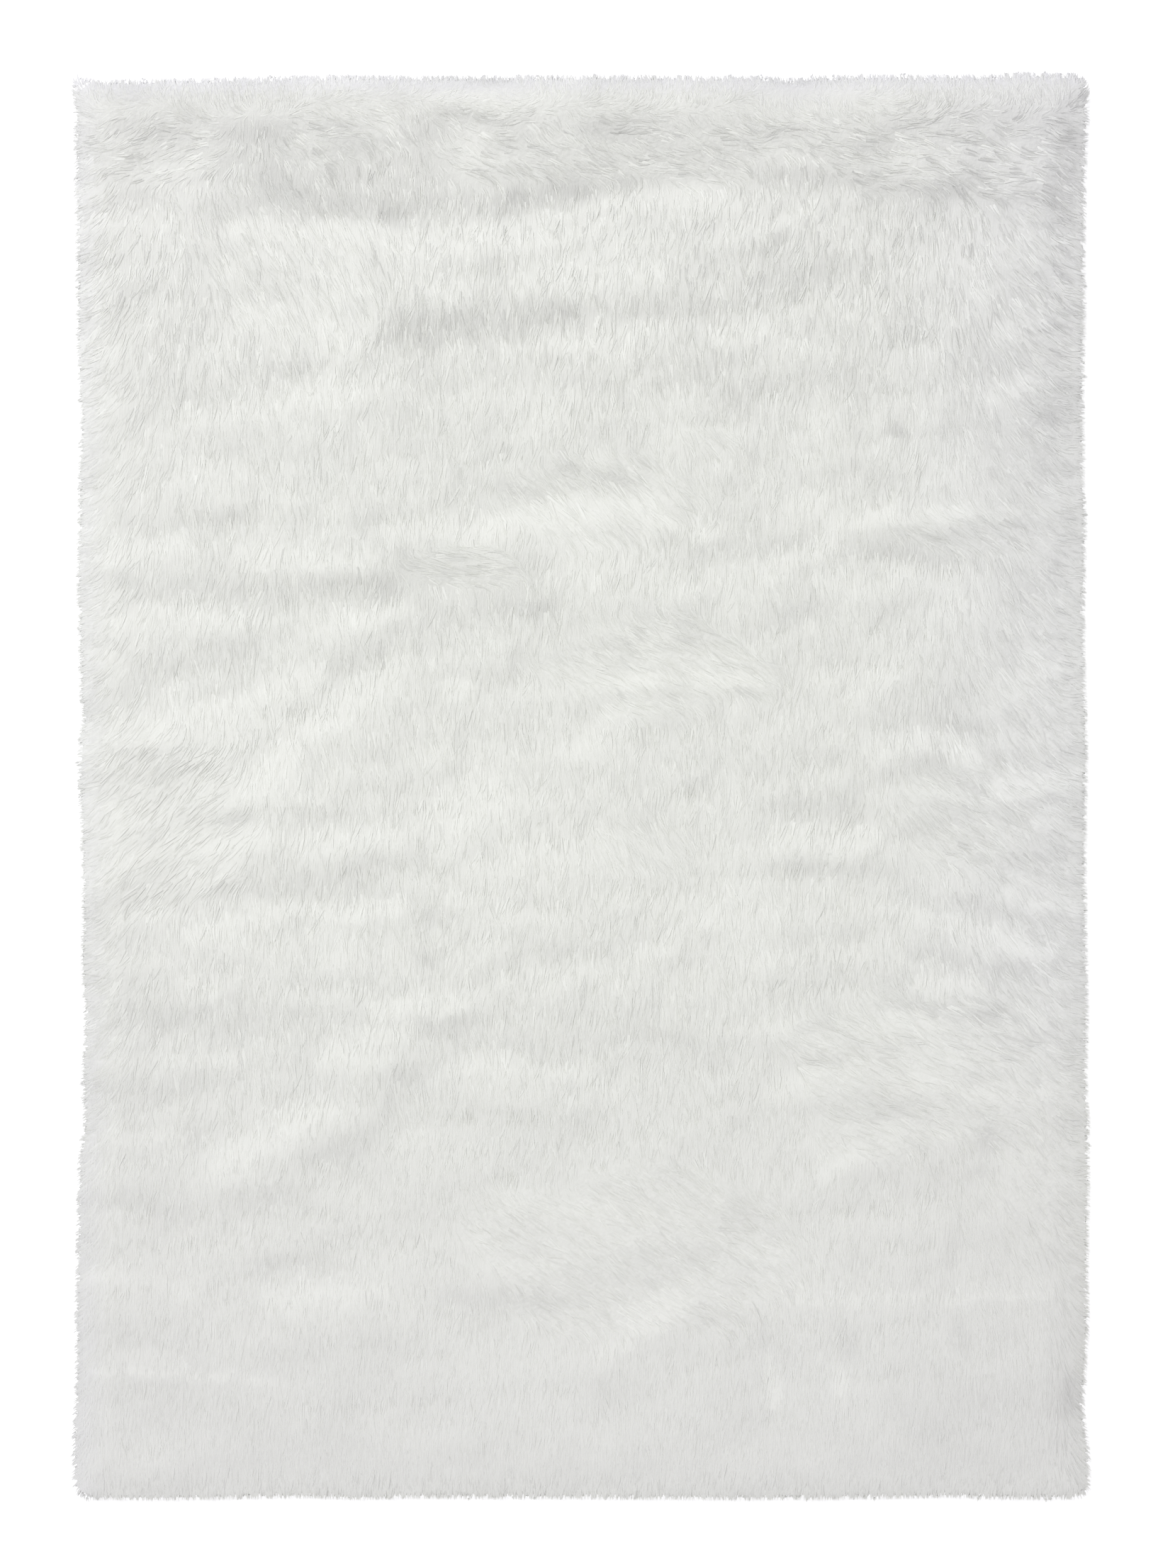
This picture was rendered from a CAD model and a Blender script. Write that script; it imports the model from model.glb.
"""The looks of a white shag rug that lies flat on a pale floor, seen from straight above.

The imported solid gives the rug's outline and the lumpy, folded height at which its pile lies. Around
it this script builds the rug as it is made: a ground cloth, the dense under pile, and the long
strands, combed towards -Y, that lie over each other in wisps and hang over the rim.
"""

import math

import bpy
import numpy as np
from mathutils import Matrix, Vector
from mathutils.bvhtree import BVHTree


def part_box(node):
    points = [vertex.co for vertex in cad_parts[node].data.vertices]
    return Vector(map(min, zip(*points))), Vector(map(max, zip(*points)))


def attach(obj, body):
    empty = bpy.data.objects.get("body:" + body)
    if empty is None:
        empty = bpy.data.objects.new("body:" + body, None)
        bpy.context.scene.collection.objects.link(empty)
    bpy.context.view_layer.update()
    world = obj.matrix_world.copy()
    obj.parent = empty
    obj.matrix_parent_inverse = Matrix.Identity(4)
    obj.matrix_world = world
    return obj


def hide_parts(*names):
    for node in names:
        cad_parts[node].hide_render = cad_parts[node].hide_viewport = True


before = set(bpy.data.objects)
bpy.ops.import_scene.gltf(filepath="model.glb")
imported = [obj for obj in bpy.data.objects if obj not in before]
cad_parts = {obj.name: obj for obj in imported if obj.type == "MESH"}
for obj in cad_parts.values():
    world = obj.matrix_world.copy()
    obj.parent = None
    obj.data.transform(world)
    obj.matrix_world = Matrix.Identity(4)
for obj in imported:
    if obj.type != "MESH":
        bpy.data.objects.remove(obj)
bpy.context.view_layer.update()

MM = 0.001
NODE = "shag_pile"
SEED = 20260
DEEPEST = 9.0  # deeper inside the outline, in metres, than any place is

# The outline, read from the solid's own edge. Each side has the sign of its way outwards.
SIDES = {"left": -1, "right": 1, "near": -1, "far": 1}
CORNER_RADIUS = 24 * MM
CORNER_TUFT = (-0.758, 1.063)  # the far left corner, where the pile stands out
TUFT_SIZE = 17 * MM
TUFT_REACH = 14 * MM
EDGE_PROBE_HEIGHT = 14 * MM  # where the slab's own edge is read, above its locks
EDGE_BLUR = 30 * MM

# The pile's surface.
SURFACE_PITCH = 5 * MM  # the grid on which the surface is worked out
SURFACE_MARGIN = 30 * MM  # how far the grid passes the solid's box
SURFACE_BLUR = 9 * MM  # takes the solid's facets out
RIM_ROLL = 66 * MM  # how far in from the tips the pile starts to roll over
RIM_CLEARANCE = (18 * MM, 10 * MM)  # how far inside the roll its height is read, in X and Y
RIM_EDGE = 7 * MM  # the last part of it, where the pile falls to the floor
RIM_EDGE_SHARE = 0.34  # the height left there, as a share of the height inside
STEEPEST_RIM_SHADED = 0.09  # the steepest rim slope that the strands' shading follows
FOLD_SHARE = 0.45  # how much of the solid's folds shows, under strands that bridge them
CALM_RELIEF = 0.35  # the share of the fine lumps left at the calm near end
CALM_RELIEF_END = (-0.95, -0.25)  # the Y between which it grows to all of them

# The bands of LEANS.
LEAN_TO_LIGHT = 0.9  # how strongly they show, turned to the light
LEAN_AWAY = 0.47  # and turned away from it
LEAN_SIDEWAYS = 0.35  # a lean's share along X, as the light comes from the left as well
BAND_SHARPNESS = 2.4  # how steeply a band fades across it
BAND_END_SHARE = 0.8  # how steeply past its ends, as a share of that
BLOTCHES = 0.06  # how far the strands lean this way and that between the bands
BLOTCHES_TOUSLED = (0.8, 1.3)  # the least and most that tousling changes them

# The way that the pile is combed, in degrees from -Y, positive towards +X.
LEFT_SPLAY = (-52, 170 * MM, (-0.95, -0.20))  # at the tips, how far in, and where in Y it sets in
RIGHT_SPLAY = (58, 270 * MM, (-1.0, -0.5))
COMBING_EDGE = (1.15, 0.75)  # where a row of COMBINGS sets in and is whole, in its half sizes
FAR_TURNS_START = (0.84, 0.90)
FAR_SWIRLS_START = (0.93, 0.99)
FAR_FALL = (75 * MM, 15 * MM)  # how far before the far tips the pile turns over the edge
ASIDE_START = (-0.97, -0.72)  # the Y of a combed way that is not aside, and of one wholly aside

# The thin, cooler pile at the rims, and the haze of short fuzz at the far end, in from the tips.
COOL_FAR = 45 * MM
COOL_LEFT, COOL_LEFT_SHARE = 60 * MM, 0.5
COOL_RIGHT, COOL_RIGHT_SHARE, COOL_RIGHT_START = 360 * MM, 0.38, (-0.6, -0.2)
FAR_HAZE = (90 * MM, 20 * MM)

# The cloth and the under pile.
CLOTH_INSET = 24 * MM
CLOTH_THICKNESS = 2.6 * MM
CLOTH_PITCH = 40 * MM
CLOTH_GAP = 0.3 * MM
UNDER_PILE_INSET = 7 * MM
UNDER_PILE_PITCH = 6.5 * MM
UNDER_PILE_DEPTH = 0.15 * MM  # how far its top lies below the strands' surface
UNDER_PILE_LEAST = 2 * MM  # its least thickness
UNDER_PILE_WALL = 3 * MM  # the height up to which it is shaded as an upright edge

# Where the strands stand.
WISP_PITCH = 13.5 * MM
RIM_WISP_PITCH = 12 * MM
RIM_ZONE = 62 * MM  # strands that start this near to the tips are short and bend more
RIM_ROOTS = 6 * MM  # how near to the tips they may be rooted
FRINGE_PITCH = 5 * MM  # the fine hairs that close the outline
FRINGE_ROOTS = (7 * MM, 18 * MM)
FUZZ_PITCH = 10 * MM
FUZZ_ROOTS = 4 * MM
FUZZ_ZONE = 64 * MM  # along the far end the pile is short and fuzzy
CALM_END = -0.45  # nearer than this Y the strands run straight and have fewer segments
CALM_RIM = 50 * MM  # nearer to the tips than this, the strands lie more evenly over each other
RIM_CALM = 0.1  # the share of their unevenness left at the tips
HAZE_CALM = 0.8  # the share of it that the haze at the far end takes away

# The wisps. The shares are for tousled pile, pile combed aside, and calm pile combed aside.
WISP_TILT = 0.11  # how far a wisp leans another way than the pile around it
WISP_TILT_SHARES = (1.0, 0.3, 0.9)
MOST_TILT = 1.6  # the most that one wisp leans to the light, in WISP_TILTs
MOST_TILT_AWAY = 1.1  # and the most away from it
WISP_RELIEF = 0.15  # how far its strands lie over each other where none of the shares counts
WISP_RELIEF_SHARES = (0.65, 0.5, 0.9)
WISP_CURL_DEGREES = 10
WISP_LENGTHS = (0.72, 1.22)  # as shares of its kind's length
WISP_TONE_SPREAD = 0.1
FAR_SHORTER = 0.3  # how much shorter the strands are at the far end
FAR_SHORTER_START = (0.75, 0.95)

# The strands.
ROOT_DEPTH = 3 * MM
TIP_REACH = 3.2 * MM  # how far the tips pass the solid's slab, as its locks do
RAGGED_RIM = 1.2 * MM  # how unevenly the tips end
NEARLY_THERE = 9 * MM  # tips that end this near to the outline are drawn out to it
FITTING = (0.2, 1.4)  # the least and most of a strand's length that is left for that
TIP_LIFTS = (0.3, 1.2)  # as shares of the wisp's lift
ROOT_FLOOR, STRAND_FLOOR = 3.6 * MM, 1.2 * MM  # the least heights of its root and its tip
FLOOR_RISE = 0.6 * MM  # how much the least height grows from the tip to near the root
TWIST_DEGREES = 14
WIDTH_SPREAD = 0.25
ROOT_WIDTH, BELLY_WIDTH = 0.75, 0.5  # a strand's width at its root, and what its belly adds
TIP_POWERS = (1.6, 0.85)  # how it is drawn in to a point
STRAND_TONE_SPREAD = 0.16
STREAK_PLACES = 900  # how long the noise is of which each strand takes its own streaks
SHADING_SHARE = 0.17  # how far a strand's own turn shows in its shading, and not only the pile's
SHADING_HELD = 0.65  # how far a strand keeps, along its length, the shading of its middle
SHADING_BEND = 0.17  # how round a strand's shading is across it
LEAST_STEADY = 0.05  # the share of SHADING_SHARE that is left at the tips
EDGE_DROP = 0.15  # how far a strand's edges lie below its ridge, as a share of its half width
CELL_LENGTH = 4  # how long a strand's cell in the atlas is, in cell widths
CELL_MARGINS = (0.12, 0.06)  # across and along the cell

# The photo's frame, as it lies on the floor.
VIEW_CENTRE = (0.009, 0.005)
VIEW_HEIGHT = 2.355
LENS_MM = 85
SENSOR_MM = 36

# Smooth noises: how much each adds at most, its lumps' width and length in mm, and its seed.
NOISES = {
    "fine lumps": (1.5 * MM, 45, 24, 1),
    "broad lumps": (2.8 * MM, 120, 50, 2),
    "broad turns": (7, 110, 110, 3),
    "fine turns": (5, 40, 50, 4),
    "combing edges": (0.22, 60, 40, 5),
    "tone": (0.2, 20, 40, 6),
    "far turns": (15, 50, 35, 7),
    "bands along x": (8 * MM, 30, 30, 8),
    "bands along y": (6 * MM, 22, 30, 9),
    "fine blotches": (BLOTCHES, 55, 30, 10),
    "broad blotches": (BLOTCHES, 100, 55, 11),
    "far swirls": (42, 45, 30, 12),
    "far fall": (28 * MM, 70, 300, 13),
}

# How far the strands lie in disorder: the least, and what each row adds, from none at the first
# X (None: everywhere) and Y to all of it at the second.
LEAST_TOUSLED = 0.25
TOUSLED = (
    (0.95, None, (-1.0, -0.2)),
    (0.80, None, (0.5, 0.8)),
    (0.50, (0.25, 0.55), (0.55, 0.80)),
    (0.40, (0.45, 0.60), (-0.6, -0.3)),
    (-0.50, (-0.5, -0.7), (0.75, 0.95)),
)

# Where each side of the outline swings out (or in, if negative): the place along it, the swing's half
# length and its reach, in mm.
WAVES = {
    "left": (
        (850, 420, 4.2), (0, 450, 2.4), (-900, 260, 2.2), (560, 60, 1.5),
        (-250, 30, 2.0), (-880, 70, -3.0), (-500, 28, -6.0), (-360, 40, -2.5),
        (20, 45, 3.5), (110, 22, -4.5), (300, 60, 2.0), (550, 25, -3.0),
        (660, 60, 2.0),
    ),
    "right": (
        (-1020, 45, 3.5), (-930, 28, -3.5), (-800, 40, 2.0), (-430, 50, -2.5),
        (460, 30, -2.0), (700, 50, 2.0),
    ),
    "far": (
        (-500, 350, 3.0), (100, 260, 1.2), (700, 200, 2.4), (-120, 60, 1.5),
        (320, 25, -3.5), (660, 30, 3.0),
    ),
    "near": (
        (0, 800, 2.0), (-330, 50, 2.5), (550, 40, -1.5),
    ),
}

# Bands in which the strands lie turned to the light (a positive lean) or away from it, as they do
# where the pile is pressed over a fold: X and Y of a band's two ends and its half width in mm, its
# lean in hundredths, and for an arc, how far its middle bows towards +Y in mm.
LEANS = (
    # the rims and broad slopes
    (-720, 1055, 720, 1055, 24, 8), (-750, -950, -750, 950, 18, 7),
    (600, -300, 680, -900, 90, -7), (500, -900, 680, -900, 75, -7),
    (-660, -100, 700, -180, 110, 3.5), (-700, -80, -600, -100, 60, 5),
    (-720, -1055, 720, -1055, 20, 6), (-750, -900, 750, -900, 250, -10),
    (600, 450, 620, -300, 110, -8), (-680, -260, -660, -600, 90, -20),
    (-680, -940, -450, -960, 90, -14), (-600, 780, -700, 760, 90, -12),
    (-120, 600, 320, 580, 90, -10), (640, 600, 660, 260, 80, -28),
    (-180, 300, -50, 260, 60, -24), (240, 450, 300, 380, 60, -28),
    (-500, 60, 150, -160, 130, 7), (-320, 450, -80, 460, 50, -15),
    (-660, 140, -400, 260, 50, -16), (-660, 780, -300, 720, 80, -8),
    (240, 800, 340, 740, 60, -10), (100, 965, 420, 955, 45, -4),
    (-150, -770, 350, -770, 70, 6), (-150, 260, 250, 240, 70, -5),
    (450, 780, 660, 780, 110, -10), (710, 480, 720, 860, 34, -40),
    # the far end, above the deepest valley
    (-640, 955, 660, 960, 70, -44), (-460, 895, 20, 905, 34, -10),
    (480, 900, 700, 950, 60, -4), (-620, 985, -460, 960, 34, -18),
    (-380, 960, -300, 955, 22, -8), (-270, 1012, -130, 998, 17, -55),
    (-170, 920, -155, 975, 20, 35), (470, 932, 540, 942, 22, 35),
    (720, 890, 730, 1000, 34, -45), (-660, 912, -570, 925, 12, 32),
    # the deepest valley, and the bright slope below it
    (-710, 862, -660, 882, 14, -35), (-490, 885, -310, 872, 24, -42),
    (-280, 855, -250, 850, 20, -60), (-220, 872, -100, 868, 23, -50),
    (-100, 878, 60, 900, 16, -60), (70, 908, 420, 905, 13, -25, 4),
    (440, 890, 680, 882, 16, -50), (600, 858, 700, 870, 16, -30),
    (-510, 836, -310, 826, 15, 45), (-270, 812, -50, 832, 20, 55),
    (-20, 838, 50, 862, 18, 85), (90, 868, 250, 875, 20, 30),
    (-450, 765, -330, 760, 30, 18), (275, 800, 295, 830, 12, -80),
    (290, 765, 430, 770, 28, -30), (650, 780, 710, 770, 22, -5),
    # the second fold and what lies below it
    (-100, 745, 20, 755, 18, 30), (-260, 745, -160, 750, 15, 12),
    (-30, 765, 120, 768, 14, 35), (-270, 668, -30, 704, 26, -50),
    (-40, 706, 250, 722, 11, -35), (-490, 700, -390, 694, 22, 40),
    (-110, 650, 70, 672, 16, 35), (90, 686, 280, 682, 10, 25),
    (-460, 632, -330, 635, 18, -20), (100, 635, 150, 628, 18, -32),
    (200, 640, 250, 640, 17, -32), (20, 602, 260, 586, 20, -22),
    (330, 682, 390, 684, 20, -22), (590, 650, 630, 660, 26, -8),
    (-50, 560, 0, 582, 18, 28), (-430, 580, -360, 580, 18, 22),
    (-140, 530, -90, 545, 22, -16), (20, 522, 50, 535, 13, -28),
    (80, 522, 260, 532, 10, 22), (470, 530, 480, 530, 12, -90),
    (-20, 470, 60, 464, 13, -50), (-110, 442, -100, 440, 10, -40),
    (-190, 430, -185, 470, 12, -20),
    # the folds at 0.2 to 0.45
    (-670, 396, -320, 396, 15, -28), (-690, 345, -600, 360, 16, 45),
    (-500, 346, -300, 336, 17, 40), (-280, 386, -190, 392, 17, 30),
    (-160, 380, -50, 402, 18, 35), (-30, 420, 100, 420, 16, 42),
    (100, 402, 180, 376, 9, 45), (0, 330, 90, 330, 32, 20),
    (-700, 315, -580, 290, 14, -16), (-520, 288, -290, 296, 16, -40),
    (-280, 320, -60, 300, 34, -27), (-130, 270, -50, 276, 20, -25),
    (-700, 240, -620, 270, 17, 17), (-550, 244, -450, 246, 10, 22),
    (-410, 240, -330, 252, 18, 28), (-300, 250, -270, 264, 12, 20),
    (150, 362, 170, 352, 18, -10), (130, 240, 170, 250, 28, -18),
    (310, 265, 340, 275, 26, -36), (270, 318, 370, 362, 13, 65),
    (320, 420, 360, 430, 12, 50), (370, 390, 580, 415, 10, 45, 3),
    (430, 352, 580, 374, 14, -36), (530, 386, 760, 400, 10, -12),
    (460, 322, 500, 322, 9, 45), (440, 265, 490, 280, 26, -18),
    (530, 270, 600, 270, 34, 22), (100, 212, 120, 222, 12, 50),
    # the slanting ridges at the left, and the middle
    (-680, 140, -600, 175, 20, -32), (-620, 80, -400, 165, 16, 42),
    (-570, 35, -410, 130, 20, 25), (-400, 165, -300, 215, 12, -14),
    (-460, 40, -270, 190, 17, 32), (-400, 50, -300, 45, 16, -30),
    (-560, -18, -400, -18, 11, 25), (-520, -46, -270, -46, 13, -33),
    (-610, -85, -280, -85, 12, 30), (-190, 145, -170, 150, 12, 60),
    (-120, 208, -80, 230, 12, 25), (-100, 155, -95, 190, 12, -32),
    (-190, 20, -180, 70, 15, -28), (0, 110, 20, 105, 11, -32),
    (20, 155, 130, 160, 9, 40), (180, 160, 270, 160, 9, 40),
    (30, 136, 300, 132, 8, -20), (0, 55, 50, 55, 26, 22),
    (-200, -30, -130, -12, 20, 55), (150, -15, 200, 20, 22, -17),
    (330, -30, 390, -20, 24, -55), (360, 150, 440, 165, 26, 13),
    (630, 180, 640, 190, 14, -50),
    # the short folds at the right
    (520, 104, 580, 84, 14, -44), (440, 56, 530, 66, 14, 42),
    (530, 66, 590, 36, 11, 80, 3), (520, 28, 590, 0, 16, -42),
    (600, 34, 750, 50, 13, -24), (620, -5, 760, 14, 12, 85),
    (550, -35, 660, -20, 17, -10), (690, -15, 760, -30, 9, -45),
    (310, -75, 430, -80, 15, 62, 2), (330, -124, 460, -128, 12, -34, 4),
    (370, -168, 440, -176, 18, 12), (600, -112, 750, -146, 9, -30),
    (550, -165, 700, -206, 10, -27), (640, -164, 740, -182, 11, 30),
    (490, -192, 660, -235, 12, 60), (500, -248, 660, -272, 13, -46),
    (500, -296, 600, -295, 12, 58), (460, -318, 620, -342, 10, -36),
    (460, -346, 510, -350, 10, 34), (400, -370, 405, -330, 14, -10),
    # the lower half
    (-560, -160, -280, -146, 15, -30, 10), (-580, -222, -280, -182, 14, 50, 12),
    (-580, -296, -550, -300, 14, 36), (-680, -340, -500, -350, 19, -30),
    (-720, -410, -530, -405, 10, 28), (-720, -450, -580, -450, 20, -16),
    (-700, -520, -620, -530, 20, 18), (-250, -244, -220, -260, 8, -60),
    (-300, -330, -190, -328, 14, 52), (-370, -400, -270, -366, 12, 60),
    (-210, -340, -140, -350, 13, -6), (-250, -366, 150, -372, 20, -25),
    (-180, -420, 0, -430, 12, 28), (-450, -500, -380, -480, 12, 36),
    (-540, -570, -420, -510, 22, 24), (-410, -560, -290, -500, 20, -28),
    (-285, -470, -275, -420, 13, -30), (-250, -500, 0, -500, 18, -27),
    (90, -256, 130, -245, 13, 34), (230, -250, 400, -250, 13, 22),
    (280, -450, 360, -430, 15, 18), (240, -500, 280, -500, 20, -14),
    (330, -480, 500, -460, 18, -20), (500, -448, 620, -455, 13, 40),
    (400, -505, 580, -515, 9, 20, 2), (360, -580, 420, -540, 13, 32),
    (590, -570, 610, -510, 14, -36), (-80, -262, 20, -268, 18, 12),
    (270, -300, 380, -300, 18, 16),
    # the calm near end
    (-660, -636, -600, -645, 17, -32), (-510, -615, -400, -610, 19, -34),
    (-490, -715, -360, -710, 14, -25), (-720, -730, -600, -745, 18, 24),
    (-460, -768, -300, -758, 20, 40), (-720, -800, -580, -830, 22, -20),
    (-720, -875, -460, -888, 7, 36, 6), (-450, -860, -260, -840, 28, -24),
    (-200, -760, -40, -780, 16, -28), (-40, -750, 100, -735, 19, -13),
    (-120, -722, 80, -676, 9, 12), (-100, -620, 100, -640, 22, 16),
    (30, -850, 140, -775, 16, 36), (130, -840, 240, -840, 22, -5),
    (250, -630, 300, -660, 18, -8), (410, -650, 420, -600, 14, -20),
    (550, -710, 560, -650, 14, -26), (300, -766, 710, -760, 7, 32),
    (380, -800, 400, -850, 12, -25), (270, -800, 275, -830, 10, -32),
    (280, -880, 285, -915, 13, 45), (380, -880, 385, -915, 12, 38),
    (560, -800, 570, -840, 13, -33), (530, -960, 700, -970, 46, -18),
    (730, -900, 735, -925, 16, -60),
)

# Where the pile is combed another way: an ellipse's middle and half sizes in metres, and the way.
COMBINGS = (
    (0.05, 0.975, 0.36, 0.08, 66),
    (0.56, 0.975, 0.26, 0.10, 74),
    (-0.33, 1.0, 0.20, 0.07, 50),
    (-0.64, 0.99, 0.14, 0.10, -72),
    (-0.43, 0.79, 0.15, 0.12, 25),
    (0.03, 0.43, 0.16, 0.075, 45),
    (0.11, 0.18, 0.17, 0.085, 57),
    (0.62, -0.04, 0.15, 0.10, 52),
    (0.095, -0.084, 0.10, 0.05, 30),
    (0.49, -0.425, 0.19, 0.13, 60),
    (0.06, -0.69, 0.27, 0.13, 55),
    (-0.63, -0.05, 0.16, 0.14, -42),
    (-0.18, 0.33, 0.10, 0.035, 80),
    (0.19, 0.52, 0.05, 0.03, 40),
    (0.56, 0.39, 0.10, 0.05, 52),
)


# ---------------------------------------------------------------- fields over the rug's plane


def smooth(t):
    t = np.clip(t, 0.0, 1.0)
    return t * t * (3.0 - 2.0 * t)


def rise(value, start, end):
    """How far a value has gone from start to end, from 0 to 1 and eased. end may be the lower."""
    return smooth((value - start) / (end - start))


def blurred(values, sigma):
    """A Gaussian blur along the last axis, sigma in cells, the ends held."""
    reach = max(1, int(3 * sigma))
    weights = np.exp(-0.5 * (np.arange(-reach, reach + 1) / sigma) ** 2)
    weights /= weights.sum()
    pad = [(0, 0)] * (values.ndim - 1) + [(reach, reach)]
    padded = np.pad(values, pad, mode="edge")
    size = values.shape[-1]
    return sum(w * padded[..., i : i + size] for i, w in enumerate(weights))


def between(values, columns, rows, share_x, share_y):
    """Values between a grid's columns and rows, each given as a pair of indices."""
    low = values[rows[0], columns[0]] * (1 - share_x) + values[rows[0], columns[1]] * share_x
    high = values[rows[1], columns[0]] * (1 - share_x) + values[rows[1], columns[1]] * share_x
    return low * (1 - share_y) + high * share_y


def noise(name, x, y):
    """One of the smooth NOISES at each place, up to its amount either way."""
    amount, width, length, seed = NOISES[name]
    cells = 64  # the noise repeats after this many lumps
    lattice = np.random.default_rng(SEED + seed).uniform(-1, 1, (cells, cells))
    start = 1000.5  # in lumps, so that the middle of the rug isn't on the lattice's edge
    u, v = x / (width * MM) + start, y / (length * MM) + start
    i, j = np.floor(u).astype(int), np.floor(v).astype(int)
    columns, rows = (i % cells, (i + 1) % cells), (j % cells, (j + 1) % cells)
    return amount * between(lattice, columns, rows, smooth(u - i), smooth(v - j))


class Grid:
    """Values on an even grid over the plane, read in between by bilinear blending."""

    def __init__(self, low, high, margin, pitch):
        self.low, self.pitch = (low.x - margin, low.y - margin), pitch
        self.xs = np.arange(self.low[0], high.x + margin + pitch, pitch)
        self.ys = np.arange(self.low[1], high.y + margin + pitch, pitch)
        self.x, self.y = np.meshgrid(self.xs, self.ys)

    def read(self, values, x, y):
        u = np.clip((x - self.low[0]) / self.pitch, 0, len(self.xs) - 1.001)
        v = np.clip((y - self.low[1]) / self.pitch, 0, len(self.ys) - 1.001)
        i, j = u.astype(int), v.astype(int)
        return between(values, (i, i + 1), (j, j + 1), u - i, v - j)


class Outline:
    """Where the strands' tips end on the floor, read from the solid's own edge."""

    def __init__(self, tree, low, high):
        self.low, self.high = low, high
        self.ys = np.arange(low.y + RIM_ROLL, high.y - RIM_ROLL, SURFACE_PITCH)
        self.xs = np.arange(low.x + RIM_ROLL, high.x - RIM_ROLL, SURFACE_PITCH)
        for side, outward in SIDES.items():
            axis = 0 if side in ("left", "right") else 1
            places = self.xs if axis else self.ys
            edge = (low if outward < 0 else high)[axis]
            runs = self.probe(tree, axis, places, edge, outward)
            line = edge - outward * (runs - runs.min())
            for place, half_length, reach in WAVES[side]:
                away = (places / MM - place) / half_length
                line += outward * reach * MM * np.exp(-(away**2))
            setattr(self, side, line)

    def probe(self, tree, axis, places, edge, outward):
        """How far each ray runs inwards along the axis before it meets the slab's edge."""
        outside = 10 * MM
        start = edge + outward * outside
        way = Vector((0, 0, 0))
        way[axis] = -outward
        runs = []
        for place in places:
            x, y = (place, start) if axis else (start, place)
            runs.append(tree.ray_cast(Vector((x, y, EDGE_PROBE_HEIGHT)), way)[3])
        return blurred(np.array(runs), EDGE_BLUR / SURFACE_PITCH)

    def sides(self, y):
        """The X of the left and the right side at each Y."""
        return np.interp(y, self.ys, self.left), np.interp(y, self.ys, self.right)

    def ends(self, x):
        """The Y of the near and the far end at each X."""
        return np.interp(x, self.xs, self.near), np.interp(x, self.xs, self.far)

    def depth(self, x, y):
        """How far inside the outline a place is, rounded at the corners."""
        (left, right), (near, far) = self.sides(y), self.ends(x)
        from_side, from_end = np.minimum(x - left, right - x), np.minimum(y - near, far - y)
        corner_x = np.maximum(CORNER_RADIUS - from_side, 0)
        corner_y = np.maximum(CORNER_RADIUS - from_end, 0)
        rounded = CORNER_RADIUS - np.hypot(corner_x, corner_y)
        at_corner = (corner_x > 0) & (corner_y > 0)
        depth = np.where(at_corner, rounded, np.minimum(from_side, from_end))
        from_tuft = np.hypot(x - CORNER_TUFT[0], y - CORNER_TUFT[1]) / TUFT_SIZE
        return depth + TUFT_REACH * np.exp(-(from_tuft**2))


def lean_amount(x, y, x0, y0, x1, y1, half_width, lean, bow=0):
    """How far one band of LEANS turns the strands over the plane."""
    x, y = x / MM - x0, y / MM - y0
    length = math.hypot(x1 - x0, y1 - y0)
    way_x, way_y = (x1 - x0) / length, (y1 - y0) / length
    along = x * way_x + y * way_y
    share = np.clip(along / length, 0, 1)
    across = y * way_x - x * way_y - bow * 4 * share * (1 - share)
    past_ends = np.maximum(np.maximum(-along, along - length), 0)
    away = np.hypot(across, BAND_END_SHARE * past_ends) / half_width
    return lean / 100 * np.exp(-(away**BAND_SHARPNESS))


def coolness(outline, x, y):
    """Where the thin pile at the far, left and right rims looks cooler: 1 at the edge, 0 inside."""
    left, right = outline.sides(y)
    at_far = rise(outline.ends(x)[1] - y, COOL_FAR, 0)
    at_left = COOL_LEFT_SHARE * rise(x - left, COOL_LEFT, 0)
    at_right = COOL_RIGHT_SHARE * rise(right - x, COOL_RIGHT, 0) * rise(y, *COOL_RIGHT_START)
    return np.maximum(np.maximum(at_far, at_left), at_right)


def far_haze(outline, x, y):
    """How evenly the short fuzz along the far end lies: 1 at the edge, 0 well inside."""
    return rise(outline.ends(x)[1] - y, *FAR_HAZE)


def tousling(x, y):
    """How far the strands lie in disorder: little at the near end, most at the far right."""
    amount = np.full_like(x, LEAST_TOUSLED)
    for added, between_x, between_y in TOUSLED:
        share_x = rise(x, *between_x) if between_x else 1
        amount += added * share_x * rise(y, *between_y)
    return amount


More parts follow.
